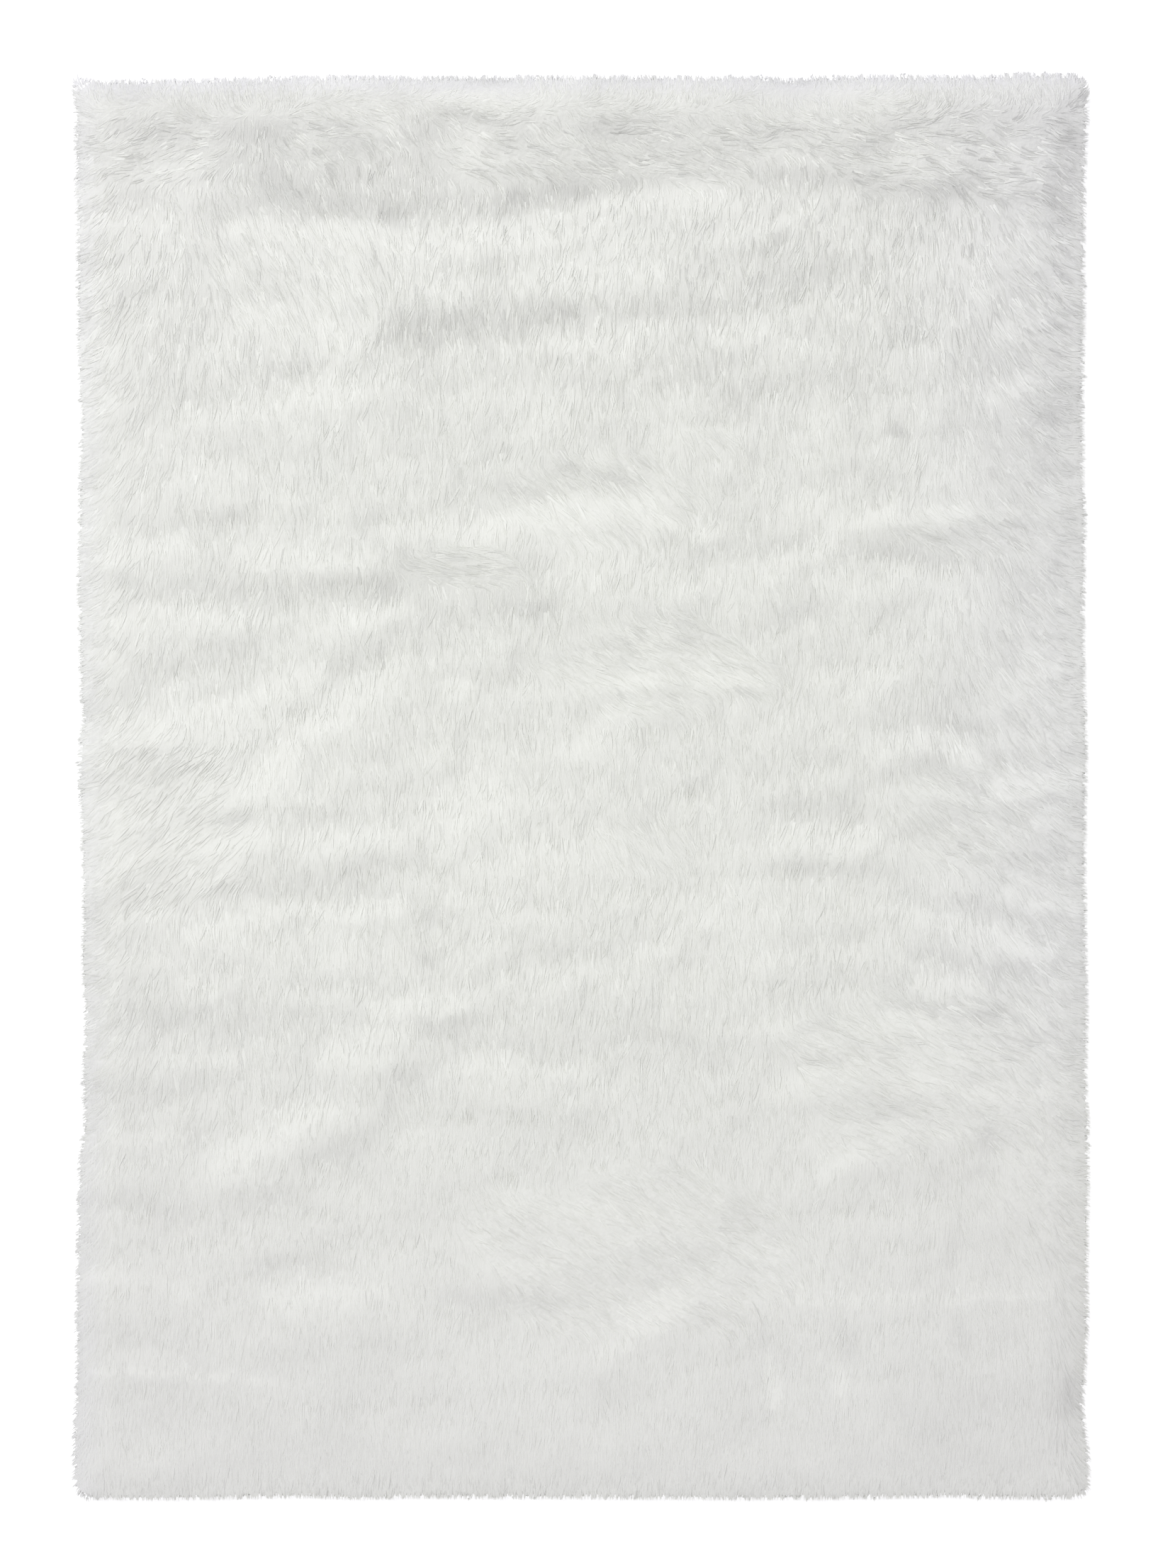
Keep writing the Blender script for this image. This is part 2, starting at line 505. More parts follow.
class PileSurface:
    """The height of the lying pile, its rim and the way that it is combed."""

    def __init__(self, node):
        corners = [v.co for v in node.data.vertices]
        faces = [tuple(p.vertices) for p in node.data.polygons]
        tree = BVHTree.FromPolygons(corners, faces)
        low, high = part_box(NODE)
        self.outline = Outline(tree, low, high)
        self.grid = Grid(low, high, SURFACE_MARGIN, SURFACE_PITCH)
        self.heights = self.lying_heights(tree, low, high) + self.fine_relief()
        depth = self.outline.depth(self.grid.x, self.grid.y)
        inward = 1 - np.clip(depth / RIM_ROLL, 0, 1)
        lying_slope_y, lying_slope_x = np.gradient(self.heights, SURFACE_PITCH)
        edge = np.clip(depth / RIM_EDGE, 0, 1)
        rounding = np.sqrt(1 - (1 - edge) ** 2)
        self.hanging = self.heights * (1 - (1 - RIM_EDGE_SHARE) * inward**2)
        self.heights = self.hanging * rounding
        slope_y, slope_x = np.gradient(self.heights, SURFACE_PITCH)
        slope_x, slope_y = slope_x - lying_slope_x, slope_y - lying_slope_y
        steepness = np.maximum(np.hypot(slope_x, slope_y) / STEEPEST_RIM_SHADED, 1)
        lean = self.leaning()
        self.slope_x = lying_slope_x + slope_x / steepness + LEAN_SIDEWAYS * lean
        self.slope_y = lying_slope_y + slope_y / steepness - lean
        self.combed_x, self.combed_y = self.combed_way()

    def lying_heights(self, tree, low, high):
        """The solid's height away from its rim, carried outwards unchanged over the rim."""
        inset_x, inset_y = (RIM_ROLL + clearance for clearance in RIM_CLEARANCE)
        down = Vector((0, 0, -1))
        heights = np.zeros_like(self.grid.x)
        for j, y in enumerate(self.grid.ys):
            y = min(max(y, low.y + inset_y), high.y - inset_y)
            for i, x in enumerate(self.grid.xs):
                x = min(max(x, low.x + inset_x), high.x - inset_x)
                heights[j, i] = tree.ray_cast(Vector((x, y, 1)), down)[0].z
        sigma = SURFACE_BLUR / SURFACE_PITCH
        heights = blurred(blurred(heights, sigma).T, sigma).T
        level = np.median(heights)
        return level + FOLD_SHARE * (heights - level)

    def fine_relief(self):
        """Lumps finer than the solid's, lower at the calm near end."""
        x, y = self.grid.x, self.grid.y
        calm = CALM_RELIEF + (1 - CALM_RELIEF) * rise(y, *CALM_RELIEF_END)
        return (noise("fine lumps", x, y) + noise("broad lumps", x, y)) * calm

    def leaning(self):
        """The lean of the strands over the grid, the bands' outlines made uneven."""
        x, y = self.grid.x, self.grid.y
        blotches = noise("fine blotches", x, y) + noise("broad blotches", x, y)
        blotches *= np.clip(tousling(x, y), *BLOTCHES_TOUSLED)
        x = x + noise("bands along x", x, y)
        y = y + noise("bands along y", x, y)
        bands = sum(lean_amount(x, y, *row) for row in LEANS)
        return blotches + np.where(bands > 0, LEAN_TO_LIGHT, LEAN_AWAY) * bands

    def combed_way(self):
        """The unit vector along which the strands lie, at each place of the grid."""
        x, y = self.grid.x, self.grid.y
        from_left, from_right = x - self.outline.left.min(), self.outline.right.max() - x
        splays = ((from_left, *LEFT_SPLAY), (from_right, *RIGHT_SPLAY))
        degrees = noise("broad turns", x, y) + noise("fine turns", x, y)
        for inward, splay, width, start in splays:
            degrees += splay * rise(inward, width, 0) * rise(y, *start)
        wobble = noise("combing edges", x, y)
        for middle_x, middle_y, half_x, half_y, way in COMBINGS:
            reach = np.hypot((x - middle_x) / half_x, (y - middle_y) / half_y)
            share = rise(reach + wobble, *COMBING_EDGE)
            degrees = degrees * (1 - share) + way * share
        degrees += noise("far turns", x, y) * rise(y, *FAR_TURNS_START)
        degrees += noise("far swirls", x, y) * rise(y, *FAR_SWIRLS_START)
        angle = np.radians(degrees)
        # along the far edge the pile turns, here sooner and there later, and falls over the edge
        tips = self.outline.far.max()
        turned = rise(y + noise("far fall", x, y), tips - FAR_FALL[0], tips - FAR_FALL[1])
        way_x = np.sin(angle) * (1 - turned)
        way_y = -np.cos(angle) * (1 - turned) + turned
        length = np.maximum(np.hypot(way_x, way_y), 1e-6)
        return way_x / length, way_y / length

    def height(self, x, y, hanging=False):
        """The surface's height, or that of the strands that hang over the rim."""
        return self.grid.read(self.hanging if hanging else self.heights, x, y)

    def normal(self, x, y):
        slope_x = self.grid.read(self.slope_x, x, y)
        slope_y = self.grid.read(self.slope_y, x, y)
        normal = np.stack([-slope_x, -slope_y, np.ones_like(slope_x)], -1)
        return normal / np.linalg.norm(normal, axis=-1, keepdims=True)

    def combed(self, x, y):
        way_x = self.grid.read(self.combed_x, x, y)
        way_y = self.grid.read(self.combed_y, x, y)
        length = np.hypot(way_x, way_y)
        return way_x / length, way_y / length

    def aside(self, x, y):
        """How far the pile is combed away from -Y, from 0 to 1."""
        return rise(self.combed(x, y)[1], *ASIDE_START)

    def depth(self, x, y):
        return self.outline.depth(x, y)

    def outward(self, x, y):
        """The unit vector that points out of the outline, across it."""
        step = 1 * MM
        out_x = self.depth(x - step, y) - self.depth(x + step, y)
        out_y = self.depth(x, y - step) - self.depth(x, y + step)
        length = np.maximum(np.hypot(out_x, out_y), 1e-9)
        return out_x / length, out_y / length


# ---------------------------------------------------------------- meshes


def put_object(name, data, location=(0, 0, 0)):
    thing = bpy.data.objects.new(name, data)
    thing.location = location
    bpy.context.scene.collection.objects.link(thing)
    return thing


def new_piece(name, mesh, material):
    piece = put_object(name, mesh)
    mesh.materials.append(material)
    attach(piece, "root")
    return piece


def add_attribute(mesh, name, domain, values):
    attribute = mesh.attributes.new(name, "FLOAT", domain)
    attribute.data.foreach_set("value", values.astype(np.float32))


def slab_mesh(name, outline, inset, pitch, bottom, top_height):
    """A closed slab over the outline drawn in by inset, with a grid top and a flat base."""
    low, high = outline.low, outline.high
    count_x, count_y = int((high.x - low.x) / pitch), int((high.y - low.y) / pitch)
    u, v = np.meshgrid(np.linspace(0, 1, count_x + 1), np.linspace(0, 1, count_y + 1))
    flat_x = low.x + inset + u * (high.x - low.x - 2 * inset)
    flat_y = low.y + inset + v * (high.y - low.y - 2 * inset)
    left, right = outline.sides(flat_y)
    near, far = outline.ends(flat_x)
    left, right, near, far = left + inset, right - inset, near + inset, far - inset
    x = left + u * (right - left)
    y = near + v * (far - near)
    # a square's points are eased towards a rounded one's near the corners
    radius = CORNER_RADIUS
    past_x = np.maximum(np.maximum(left + radius - x, x - right + radius), 0)
    past_y = np.maximum(np.maximum(near + radius - y, y - far + radius), 0)
    past = np.maximum(np.hypot(past_x, past_y), 1e-9)
    pull = np.where((past_x > 0) & (past_y > 0), np.maximum(past_x, past_y) / past, 1)
    x = x + np.sign(flat_x) * past_x * (pull - 1)
    y = y + np.sign(flat_y) * past_y * (pull - 1)
    top = np.stack([x, y, top_height(x, y)], -1).reshape(-1, 3)
    index = np.arange(top.shape[0]).reshape(x.shape)
    quads = np.stack([index[:-1, :-1], index[:-1, 1:], index[1:, 1:], index[1:, :-1]], -1)
    ring = np.concatenate([index[0, :-1], index[:-1, -1], index[-1, :0:-1], index[:0:-1, 0]])
    base = top[ring].copy()
    base[:, 2] = bottom
    base_ring = np.arange(len(ring)) + len(top)
    walls = np.stack([ring, base_ring, np.roll(base_ring, -1), np.roll(ring, -1)], -1)
    faces = quads.reshape(-1, 4).tolist() + walls.tolist() + [base_ring[::-1].tolist()]
    mesh = bpy.data.meshes.new(name)
    mesh.from_pydata(np.vstack([top, base]).tolist(), [], faces)
    mesh.update()
    return mesh


class Strands:
    """Tapering strands with the same number of segments, each a low roof with a round shading.

    A strand's points are each ring's left, ridge and right one from its root, and then its tip.
    """

    def __init__(self, points, normals, tone, cool, random_u):
        self.facts = (points, normals, tone, cool, random_u)
        self.points, self.normals, self.tone, self.cool, self.random_u = self.facts
        self.rings = points.shape[1] // 3

    def part(self, chosen):
        return Strands(*(fact[chosen] for fact in self.facts))

    def triangles_each(self):
        return 4 * self.rings - 2

    def mesh_arrays(self, first_vertex):
        """(corner vertices, face sizes, corner across, corner along) as arrays."""
        count, rings = len(self.points), self.rings
        corners, across, along, sizes = [], [], [], []
        for side in (0, 1):
            for ring in range(rings - 1):
                here = 3 * ring + side
                corners += [here, here + 1, here + 4, here + 3]
                across += [side / 2, side / 2 + 0.5, side / 2 + 0.5, side / 2]
                along += [ring, ring, ring + 1, ring + 1]
                sizes.append(4)
            last = 3 * rings - 3 + side
            corners += [last, last + 1, 3 * rings]
            across += [side / 2, side / 2 + 0.5, 0.5]
            along += [rings - 1, rings - 1, rings]
            sizes.append(3)
        starts = first_vertex + np.arange(count)[:, None] * (3 * rings + 1)
        return (
            (starts + np.array(corners)[None]).ravel(),
            np.tile(sizes, count),
            np.tile(across, (count, 1)),
            np.tile(np.array(along) / rings, (count, 1)),
        )


def strand_mesh(name, groups):
    """One mesh of several groups of strands, with an atlas cell for each strand."""
    total = sum(len(group.points) for group in groups)
    columns = int(math.ceil(math.sqrt(total * CELL_LENGTH)))
    rows = int(math.ceil(total / columns))
    margin_u, margin_v = CELL_MARGINS
    corners, sizes, atlas, local, tones, cools = [], [], [], [], [], []
    first_vertex, first_strand = 0, 0
    for group in groups:
        corner, size, across, along = group.mesh_arrays(first_vertex)
        number = np.arange(len(group.points))[:, None] + first_strand
        cell_u = number % columns + margin_u + (1 - 2 * margin_u) * across
        cell_v = number // columns + margin_v + (1 - 2 * margin_v) * along
        atlas.append(np.stack([cell_u / columns, cell_v / rows], -1).reshape(-1, 2))
        local_u = group.random_u[:, None] + across
        local.append(np.stack([local_u, along], -1).reshape(-1, 2))
        faces_each = len(size) // len(group.points)
        tones.append(np.repeat(group.tone, faces_each))
        cools.append(np.repeat(group.cool, faces_each))
        corners.append(corner)
        sizes.append(size)
        first_vertex += len(group.points) * group.points.shape[1]
        first_strand += len(group.points)
    vertices = np.vstack([group.points.reshape(-1, 3) for group in groups])
    normals = np.vstack([group.normals.reshape(-1, 3) for group in groups])
    corners, sizes = np.concatenate(corners), np.concatenate(sizes)
    mesh = bpy.data.meshes.new(name)
    mesh.vertices.add(len(vertices))
    mesh.vertices.foreach_set("co", vertices.astype(np.float32).ravel())
    mesh.loops.add(len(corners))
    mesh.loops.foreach_set("vertex_index", corners.astype(np.int32))
    mesh.polygons.add(len(sizes))
    starts = np.concatenate([[0], np.cumsum(sizes)[:-1]])
    mesh.polygons.foreach_set("loop_start", starts.astype(np.int32))
    mesh.polygons.foreach_set("use_smooth", np.ones(len(sizes), bool))
    mesh.update(calc_edges=True)
    for map_name, values in (("OFBake", atlas), ("strand", local)):
        layer = mesh.uv_layers.new(name=map_name)
        layer.uv.foreach_set("vector", np.vstack(values).astype(np.float32).ravel())
    add_attribute(mesh, "tone", "FACE", np.concatenate(tones))
    add_attribute(mesh, "cool", "FACE", np.concatenate(cools))
    mesh.validate()
    mesh.normals_split_custom_set_from_vertices(normals.astype(np.float32))
    return mesh


# ---------------------------------------------------------------- strands


def scattered(surface, pitch, least_depth, most_depth, chance):
    """Places over the rug, one near each point of an even grid, within a band of depths."""
    low, high = surface.outline.low, surface.outline.high
    grid = np.meshgrid(np.arange(low.x, high.x, pitch), np.arange(low.y, high.y, pitch))
    x, y = (a.ravel() + chance.uniform(-0.5, 0.5, a.size) * pitch for a in grid)
    depth = surface.depth(x, y)
    kept = (depth >= least_depth) & (depth < most_depth)
    return x[kept], y[kept]


def grow(surface, x, y, wisp, chance, looks):
    """Grows one strand from each root (x, y) along the combed pile.

    wisp holds each root's turn, curl, length and middle, and looks the strands' named sizes. A
    strand that would pass its limit at the outline, or end NEARLY_THERE, is grown again, so much
    the shorter or longer.
    """
    count = len(x)
    length = wisp["length"] * chance.uniform(looks["shortest"], 1.0, count)
    fact = {
        "turn": wisp["turn"] + chance.normal(0, looks["jitter_degrees"], count),
        "curl": wisp["curl"] + chance.normal(0, looks["curl_degrees"], count),
        "layer": chance.uniform(looks["lowest"], looks["highest"], count) * wisp["relief"],
        "tip_lift": wisp["lift"] * chance.uniform(*TIP_LIFTS, count),
        "middle_x": wisp["x"],
        "middle_y": wisp["y"],
    }
    ragged = RAGGED_RIM * chance.uniform(-0.5, 0.5, count) * np.minimum(wisp["tousled"], 1)
    limit = ragged - looks["reach"]
    path = strand_path(surface, x, y, length, fact, looks)
    root_depth = surface.depth(x, y)
    tip_depth = surface.depth(path[:, -1, 0], path[:, -1, 1])
    run = np.maximum(root_depth - tip_depth, 1 * MM)
    fitting = np.clip((root_depth - limit) / run, *FITTING)
    length = np.where(tip_depth < limit + NEARLY_THERE, length * fitting, length)
    path = strand_path(surface, x, y, length, fact, looks)
    ground = surface.normal(path[..., 0], path[..., 1])
    return ribbons(path, ground, wisp, chance, looks)


def strand_path(surface, x, y, length, fact, looks):
    """The middle line of each strand, ring by ring from its root."""
    segments = looks["segments"]
    points = []
    px, py = x.copy(), y.copy()
    for ring in range(segments + 1):
        share = ring / segments
        risen = smooth(share / looks["rising_share"])
        lift = fact["layer"] * risen - (1 - risen) * ROOT_DEPTH + fact["tip_lift"] * share**2
        surface_z = surface.height(px, py, looks["hanging"])
        floor = STRAND_FLOOR + FLOOR_RISE * (1 - share) if ring else ROOT_FLOOR
        points.append(np.stack([px, py, np.maximum(surface_z + lift, floor)], -1))
        if ring == segments:
            break
        way_x, way_y = surface.combed(px, py)
        if "outward_share" in looks:
            out_x, out_y = surface.outward(px, py)
            near_rim = looks["outward_share"] * rise(surface.depth(px, py), RIM_ZONE, 0)
            way_x = way_x * (1 - near_rim) + out_x * near_rim
            way_y = way_y * (1 - near_rim) + out_y * near_rim
            size = np.maximum(np.hypot(way_x, way_y), 1e-6)
            way_x, way_y = way_x / size, way_y / size
        angle = np.radians(fact["turn"] + fact["curl"] * (share + 0.5 / segments))
        step_x = way_x * np.cos(angle) - way_y * np.sin(angle)
        step_y = way_x * np.sin(angle) + way_y * np.cos(angle)
        step = length / segments
        ahead_z = surface.height(px + step_x * step, py + step_y * step, looks["hanging"])
        step = step / np.sqrt(1 + ((ahead_z - surface_z) / step) ** 2)
        # the wisp's strands draw together towards its tip
        gather = looks["gather"] / segments
        px = px + step_x * step + (fact["middle_x"] - x) * gather
        py = py + step_y * step + (fact["middle_y"] - y) * gather
    return np.stack(points, 1)


def taper(share):
    """A strand's width along it: fullest before its middle, and pointed at its tip."""
    drawn_in = (1 - share ** TIP_POWERS[0]) ** TIP_POWERS[1]
    return (ROOT_WIDTH + BELLY_WIDTH * np.sin(math.pi * share)) * drawn_in


def ribbons(path, ground, wisp, chance, looks):
    """Low, roof-shaped, tapering strands along paths, each rolled a little about its own way."""
    count, rings = path.shape[0], path.shape[1] - 1
    along = np.gradient(path, axis=1)
    along /= np.linalg.norm(along, axis=2, keepdims=True)
    up = (0.0, 0.0, 1.0)
    side = np.cross(along, up)
    side /= np.maximum(np.linalg.norm(side, axis=2, keepdims=True), 1e-6)
    over = np.cross(side, along)
    share = np.linspace(0, 1, rings + 1)[None, :, None]
    roll = np.radians(chance.normal(0, looks["roll_degrees"], count))[:, None, None]
    twist = np.radians(chance.normal(0, TWIST_DEGREES, count))[:, None, None]
    roll = roll + twist * share
    across = side * np.cos(roll) + over * np.sin(roll)
    widths = chance.uniform(1 - WIDTH_SPREAD, 1 + WIDTH_SPREAD, count)[:, None, None]
    half = 0.5 * looks["width"] * widths * taper(share)
    facing = np.cross(across, along)
    drop = facing * half * EDGE_DROP
    rows = np.stack([path - across * half - drop, path, path + across * half - drop], 2)
    bend = wisp["tousled"][:, None, None] * SHADING_BEND
    ground = ground + SHADING_HELD * (ground[:, rings // 2 + 1, None] - ground)
    tilt = np.stack([wisp["tilt_x"], wisp["tilt_y"], np.zeros(count)], 1)[:, None]
    ground = ground + looks["tilt_share"] * tilt
    facing = ground + SHADING_SHARE * wisp["steady"][:, None, None] * (facing - ground)
    bent = np.stack([facing - across * bend, facing, facing + across * bend], 2)
    points = np.concatenate([rows[:, :rings].reshape(count, -1, 3), path[:, -1:]], 1)
    normals = np.concatenate([bent[:, :rings].reshape(count, -1, 3), facing[:, -1:]], 1)
    normals /= np.linalg.norm(normals, axis=2, keepdims=True)
    tone = np.clip(wisp["tone"] + chance.normal(0, STRAND_TONE_SPREAD, count), 0, 1)
    return Strands(points, normals, tone, wisp["cool"], chance.uniform(0, STREAK_PLACES, count))


def wisps(surface, x, y, chance, kind):
    """The facts that the strands of each wisp share."""
    count = len(x)
    tousled, aside = tousling(x, y), surface.aside(x, y)
    turning = np.minimum(tousled, 1)
    inside = smooth(surface.depth(x, y) / CALM_RIM)
    even = 1 - HAZE_CALM * far_haze(surface.outline, x, y)
    even = (RIM_CALM + (1 - RIM_CALM) * inside) * even
    grounds = np.stack([tousled, aside, aside * (1 - turning)])
    tilt = WISP_TILT * even * (WISP_TILT_SHARES @ grounds)
    longest = kind["length"] * (1 - FAR_SHORTER * rise(y, *FAR_SHORTER_START))
    return {
        "x": x,
        "y": y,
        "turn": chance.normal(0, kind["turn_degrees"], count) * turning,
        "curl": chance.normal(0, WISP_CURL_DEGREES, count) * turning,
        "tilt_x": tilt * np.clip(chance.normal(0, 1, count), -MOST_TILT, MOST_TILT_AWAY),
        "tilt_y": tilt * np.clip(chance.normal(0, 1, count), -MOST_TILT_AWAY, MOST_TILT),
        "length": longest * chance.uniform(*WISP_LENGTHS, count),
        "lift": kind["lift"] * chance.uniform(0, 1, count) ** 2 * tousled,
        "tousled": tousled,
        "relief": even * (WISP_RELIEF + WISP_RELIEF_SHARES @ grounds),
        "steady": LEAST_STEADY + (1 - LEAST_STEADY) * inside,
        "cool": coolness(surface.outline, x, y),
        "tone": 0.5 + noise("tone", x, y) + chance.normal(0, WISP_TONE_SPREAD, count),
    }


def tuft(surface, facts, per_wisp, spread, chance, looks):
    """Several strands for each wisp, rooted around its middle."""
    repeated = {key: np.repeat(value, per_wisp) for key, value in facts.items()}
    count = len(repeated["x"])
    radius = spread * np.sqrt(chance.uniform(0, 1, count))
    angle = chance.uniform(0, 2 * math.pi, count)
    x = repeated["x"] + radius * np.cos(angle)
    y = repeated["y"] + radius * np.sin(angle)
    return grow(surface, x, y, repeated, chance, looks)


# What the strands are like: the broad ones of the pile's body, and the fine hairs over them.
BODY = {
    "segments": 3,
    "shortest": 0.7,
    "jitter_degrees": 2.5,
    "curl_degrees": 4,
    "roll_degrees": 6,
    "gather": 0.40,
    "rising_share": 0.25,
    "lowest": -0.05 * MM,
    "highest": 0.17 * MM,
    "width": 4.0 * MM,
    "tilt_share": 0.7,
    "hanging": True,
    "reach": TIP_REACH,
}
HAIR = BODY | {
    "shortest": 0.6,
    "jitter_degrees": 4,
    "curl_degrees": 7,
    "roll_degrees": 8,
    "gather": 0.45,
    "rising_share": 0.30,
    "lowest": 0.0 * MM,
    "highest": 0.40 * MM,
    "width": 2.0 * MM,
    "tilt_share": 1.1,
}
STRAIGHT = {"segments": 2}
OVER_THE_RIM = {"segments": 4, "outward_share": 0.6, "gather": 0.14}
UNDER_THE_RIM = {"outward_share": 0.8, "hanging": False, "reach": -1 * MM}
SHORT_FUZZ = {"jitter_degrees": 6, "curl_degrees": 7, "gather": 0.2, "outward_share": 0.6}

# Each kind of wisp: its strands' length, turn and lift, and how far around it they are rooted.
INNER_WISP = {"length": 50 * MM, "turn_degrees": 6, "lift": 0.3 * MM, "spread": 8 * MM}
RIM_WISP = {"length": 40 * MM, "turn_degrees": 8, "lift": 0.5 * MM, "spread": 7 * MM}
FRINGE_WISP = {"length": 20 * MM, "turn_degrees": 10, "lift": 0.3 * MM, "spread": 3 * MM}
FUZZ_WISP = {"length": 36 * MM, "turn_degrees": 12, "lift": 0.5 * MM, "spread": 7 * MM}


def grow_pile(surface, chance):
    """All strands, as a list of groups."""
    groups = []

    def plant(x, y, kind, *tufts):
        facts = wisps(surface, x, y, chance, kind)
        for per_wisp, looks in tufts:
            groups.append(tuft(surface, facts, per_wisp, kind["spread"], chance, looks))

    fuzz_start = surface.outline.far.max() - FUZZ_ZONE
    x, y = scattered(surface, WISP_PITCH, RIM_ZONE, DEEPEST, chance)
    calm = y < CALM_END
    plant(x[calm], y[calm], INNER_WISP, (2, BODY | STRAIGHT), (2, HAIR | STRAIGHT))
    lively = ~calm & (y < fuzz_start)
    plant(x[lively], y[lively], INNER_WISP, (2, BODY), (2, HAIR))
    x, y = scattered(surface, RIM_WISP_PITCH, RIM_ROOTS, RIM_ZONE, chance)
    combed = y < fuzz_start
    body, hair = BODY | OVER_THE_RIM, HAIR | OVER_THE_RIM
    body["width"], hair["width"] = 3.6 * MM, 1.7 * MM
    plant(x[combed], y[combed], RIM_WISP, (2, body), (3, hair))
    x, y = scattered(surface, FRINGE_PITCH, *FRINGE_ROOTS, chance)
    plant(x, y, FRINGE_WISP, (2, HAIR | UNDER_THE_RIM))
    x, y = scattered(surface, FUZZ_PITCH, FUZZ_ROOTS, DEEPEST, chance)
    fuzzy = y >= fuzz_start
    body, hair = BODY | SHORT_FUZZ, HAIR | SHORT_FUZZ
    body["width"], hair["width"] = 3.2 * MM, 1.5 * MM
    plant(x[fuzzy], y[fuzzy], FUZZ_WISP, (3, body), (3, hair))
    return groups


PILE_BANDS = ("pile_near_end", "pile_near_half", "pile_middle", "pile_far_half", "pile_far_end")


def make_pile(surface, material):
    """Splits the strands into bands along the rug, so that no piece is too heavy."""
    groups = grow_pile(surface, np.random.default_rng(SEED))
    roots = np.concatenate([group.points[:, 0, 1] for group in groups])
    heavy = np.concatenate([np.full(len(g.points), g.triangles_each()) for g in groups])
    order = np.argsort(roots)
    load = np.cumsum(heavy[order]) / heavy.sum()
    shares = np.arange(1, len(PILE_BANDS)) / len(PILE_BANDS)
    limits = [-math.inf, *roots[order][np.searchsorted(load, shares)], math.inf]
    for name, low, high in zip(PILE_BANDS, limits, limits[1:]):
        parts = []
        for group in groups:
            root = group.points[:, 0, 1]
            chosen = (root >= low) & (root < high)
            if chosen.any():
                parts.append(group.part(chosen))
        new_piece(name, strand_mesh(name, parts), material)


# ---------------------------------------------------------------- materials


FIBRE_DULL, FIBRE_BRIGHT = (0.886, 0.886, 0.840, 1), (0.931, 0.935, 0.894, 1)
ROOT_SHADE = (0.80, 0.80, 0.77, 1)
STREAK_SHADE = (0.62, 0.62, 0.60, 1)
UNDER_DULL, UNDER_BRIGHT = (0.861, 0.86, 0.817, 1), (0.931, 0.934, 0.891, 1)
COOL_TINT = (0.986, 0.978, 1.045, 1)
KNIT_DARK, KNIT_LIGHT = (0.55, 0.54, 0.50, 1), (0.76, 0.75, 0.71, 1)
FLOOR_WHITE = (0.95, 0.95, 0.95, 1)


class Nodes:
    """A short way to write a material's node tree."""

    def __init__(self, name):
        self.material = bpy.data.materials.new(name)
        self.material.use_nodes = True
        self.tree = self.material.node_tree

    def add(self, kind, settings=None, **inputs):
        """A new node. An input goes by its name, or by its number, as i0, i1 and so on."""
        node = self.tree.nodes.new(kind)
        for key, value in (settings or {}).items():
            setattr(node, key, value)
        self.put(node, inputs)
        return node

    def put(self, node, inputs):
        for key, value in inputs.items():
            numbered = key[0] == "i" and key[1:].isdigit()
            socket = node.inputs[int(key[1:]) if numbered else key.replace("_", " ")]
            if isinstance(value, bpy.types.NodeSocket):
                self.tree.links.new(value, socket)
            else:
                socket.default_value = value

    def finish(self, **inputs):
        """Sets the shader's own sockets, and gives the material."""
        self.put(self.tree.nodes["Principled BSDF"], inputs)
        return self.material

    def math(self, operation, first, second):
        return self.add("ShaderNodeMath", {"operation": operation}, i0=first, i1=second).outputs[0]

    def ramp(self, factor, low, high):
        """factor from 0 to 1 mapped to low to high."""
        return self.add("ShaderNodeMapRange", Value=factor, To_Min=low, To_Max=high).outputs[0]

    def mix(self, factor, first, second, blend="MIX"):
        settings = {"data_type": "RGBA", "blend_type": blend}
        return self.add("ShaderNodeMix", settings, i0=factor, i6=first, i7=second).outputs[2]

    def attribute(self, name):
        return self.add("ShaderNodeAttribute", {"attribute_name": name}).outputs["Fac"]

    def object_place(self):
        return self.add("ShaderNodeTexCoord").outputs["Object"]

    def noise(self, place, scale, detail):
        return self.add("ShaderNodeTexNoise", Vector=place, Scale=scale, Detail=detail).outputs[0]

    def lines(self, place, stretch, detail):
        """Noise drawn out into lines."""
        stretched = self.add("ShaderNodeMapping", Vector=place, Scale=stretch).outputs[0]
        return self.noise(stretched, 1.0, detail)

    def ribs(self, place, direction, scale):
        settings = {"bands_direction": direction}
        inputs = {"Vector": place, "Scale": scale, "Distortion": 1.5, "Detail": 1.0}
        return self.add("ShaderNodeTexWave", settings, **inputs).outputs["Fac"]

    def bump(self, height, strength, distance):
        inputs = {"Height": height, "Strength": strength, "Distance": distance}
        return self.add("ShaderNodeBump", **inputs).outputs[0]

    def cooled(self, colour):
        """The colour, a little cooler where the pile's "cool" attribute says so."""
        tint = self.mix(self.attribute("cool"), (1, 1, 1, 1), COOL_TINT)
        return self.mix(1.0, colour, tint, "MULTIPLY")


